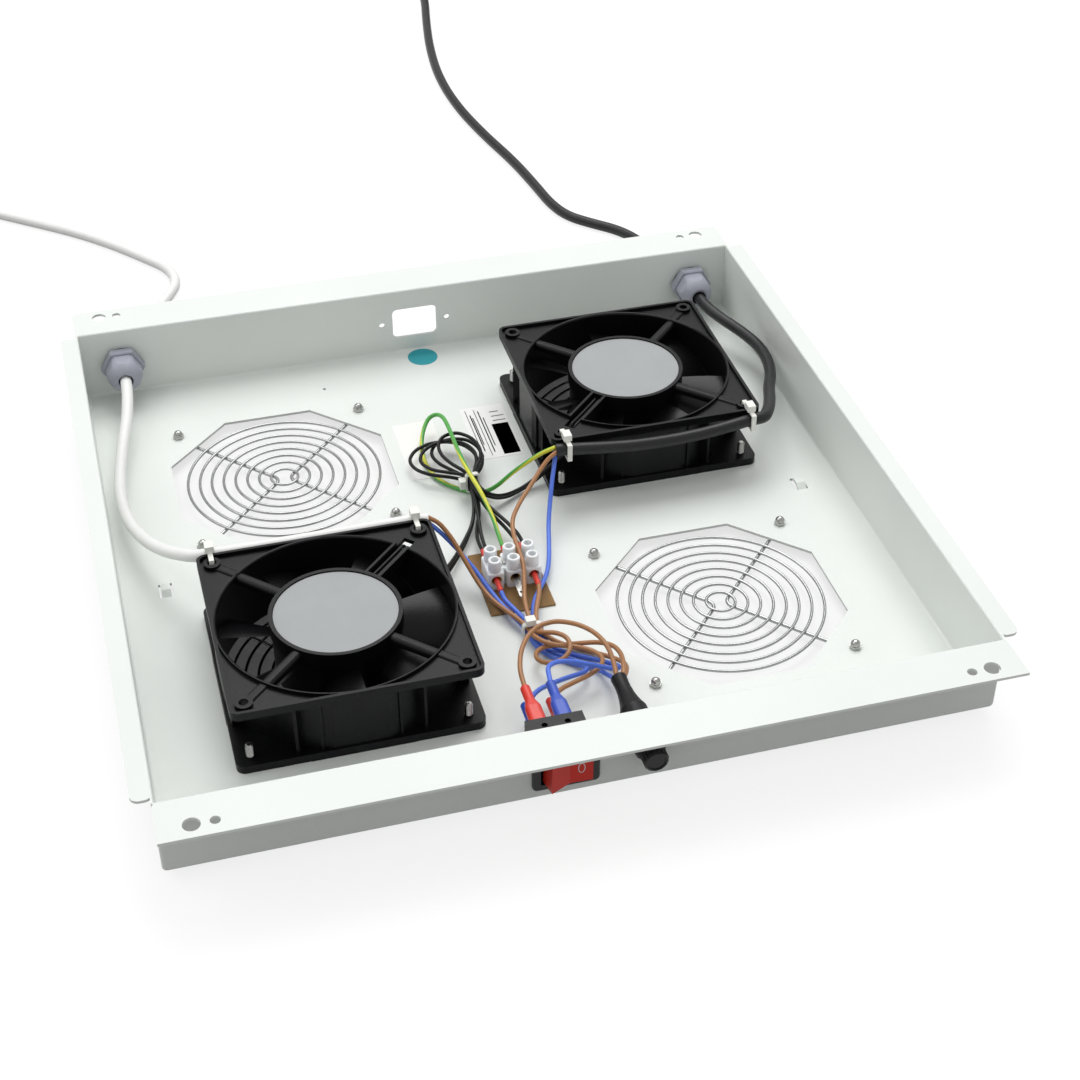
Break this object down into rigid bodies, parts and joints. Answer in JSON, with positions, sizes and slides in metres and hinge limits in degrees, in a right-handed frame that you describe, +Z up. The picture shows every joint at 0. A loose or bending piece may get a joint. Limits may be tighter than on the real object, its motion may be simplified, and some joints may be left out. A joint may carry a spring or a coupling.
{
  "type": "rack fan tray",
  "caption": "Steel rack fan tray with axial fans, wire finger guards, rocker switch, fuse holder, terminal strip, glands, wiring and power cords",
  "frame": {"origin": "middle of the tray in plan, at the level of the lowest screw heads under the floor", "axes": "+X along the front wall towards the side with the fuse holder, +Y from the front wall with switch and fuse to the rear wall with the glands, +Z up"},
  "size_m": [0.6551, 1.0625, 0.0492],
  "materials": {
    "tray_steel": "semi_matt",
    "teal_sticker": "satin",
    "white_label": "satin",
    "silver_label": "satin",
    "kraft_card": "matt",
    "plated_steel": "satin",
    "clear_nylon": "satin",
    "brass": "satin",
    "red_nylon": "satin",
    "blue_nylon": "satin",
    "black_nylon": "satin",
    "red_rocker": "gloss",
    "ceramic_link": "gloss",
    "shrink_black": "satin",
    "seal_rubber": "matt",
    "gland_nylon": "satin",
    "tie_nylon": "satin",
    "black_cable": "satin",
    "black_rubber": "satin",
    "white_cable": "satin",
    "earth_insulation": "satin",
    "black_lead": "satin",
    "brown_insulation": "satin",
    "blue_insulation": "satin",
    "fan_cast": "satin",
    "fan_blades": "satin",
    "stator_steel": "satin",
    "guard_chrome": "satin"
  },
  "bodies": {
    "tray_assembly": {"blue_receptacles": "blue_nylon", "blue_wires": "blue_insulation", "brown_wires": "brown_insulation", "bundle_tie": "tie_nylon", "cap_nuts": "plated_steel", "earth_tab": "plated_steel", "earth_wire": "earth_insulation", "fan_leads": "black_lead", "fan_screws": "plated_steel", "fan_ties": "tie_nylon", "finger_guard_front_right": "guard_chrome", "finger_guard_left_fan": "guard_chrome", "finger_guard_rear_left": "guard_chrome", "finger_guard_right_fan": "guard_chrome", "floor_labels": "white_label", "fuse_holder_body": "black_nylon", "fuse_holder_nut": "black_nylon", "fuse_sleeve": "shrink_black", "gland_lock_nuts": "gland_nylon", "gland_seals": "seal_rubber", "guard_screws": "plated_steel", "harness_tie": "tie_nylon", "insulating_card": "kraft_card", "left_fan_bearings": "plated_steel", "left_fan_frame": "fan_cast", "left_fan_hub_label": "silver_label", "left_fan_stator": "stator_steel", "left_gland_body": "gland_nylon", "left_gland_cap": "gland_nylon", "mains_cable_inside": "black_cable", "mains_cord": "black_cable", "mains_cord_coil": "black_cable", "mains_plug": "black_rubber", "red_receptacles": "red_nylon", "right_fan_bearings": "plated_steel", "right_fan_frame": "fan_cast", "right_fan_hub_label": "silver_label", "right_fan_stator": "stator_steel", "right_gland_body": "gland_nylon", "right_gland_cap": "gland_nylon", "round_sticker": "teal_sticker", "stat_cable_inside": "white_cable", "stat_cord": "white_cable", "stat_cord_coil": "white_cable", "stat_cord_end": "white_cable", "switch_body": "black_nylon", "switch_terminals": "plated_steel", "terminal_inserts": "brass", "terminal_screws": "plated_steel", "terminal_strip": "clear_nylon", "tray": "tray_steel", "wire_ferrules": "red_nylon"},
    "left_rotor": {"left_fan_impeller": "fan_blades", "left_fan_shaft": "plated_steel"},
    "right_rotor": {"right_fan_impeller": "fan_blades", "right_fan_shaft": "plated_steel"},
    "rocker": {"switch_rocker": "red_rocker"},
    "fuse_slide": {"fuse_link": "ceramic_link"},
    "fuse_knob": {"fuse_cap": "black_nylon"}
  },
  "joints": [
    {"name": "left_fan_spin", "type": "hinge", "parent": "tray_assembly", "child": "left_rotor", "pos_m": [-0.0992, -0.0836, 0.0251], "axis": [0, 0, 1], "continuous": true},
    {"name": "right_fan_spin", "type": "hinge", "parent": "tray_assembly", "child": "right_rotor", "pos_m": [0.0992, 0.0836, 0.0251], "axis": [0, 0, 1], "continuous": true},
    {"name": "rocker_tilt", "type": "hinge", "parent": "tray_assembly", "child": "rocker", "pos_m": [-0.0155, -0.1933, 0.0239], "axis": [0, 0, 1], "range_deg": [-24, 0]},
    {"name": "fuse_pull", "type": "slide", "parent": "tray_assembly", "child": "fuse_slide", "axis": [0, -1, 0], "range_m": [0, 0.032]},
    {"name": "fuse_cap_turn", "type": "hinge", "parent": "fuse_slide", "child": "fuse_knob", "pos_m": [0.0244, -0.1958, 0.0247], "axis": [0, -1, 0], "range_deg": [0, 60]}
  ]
}
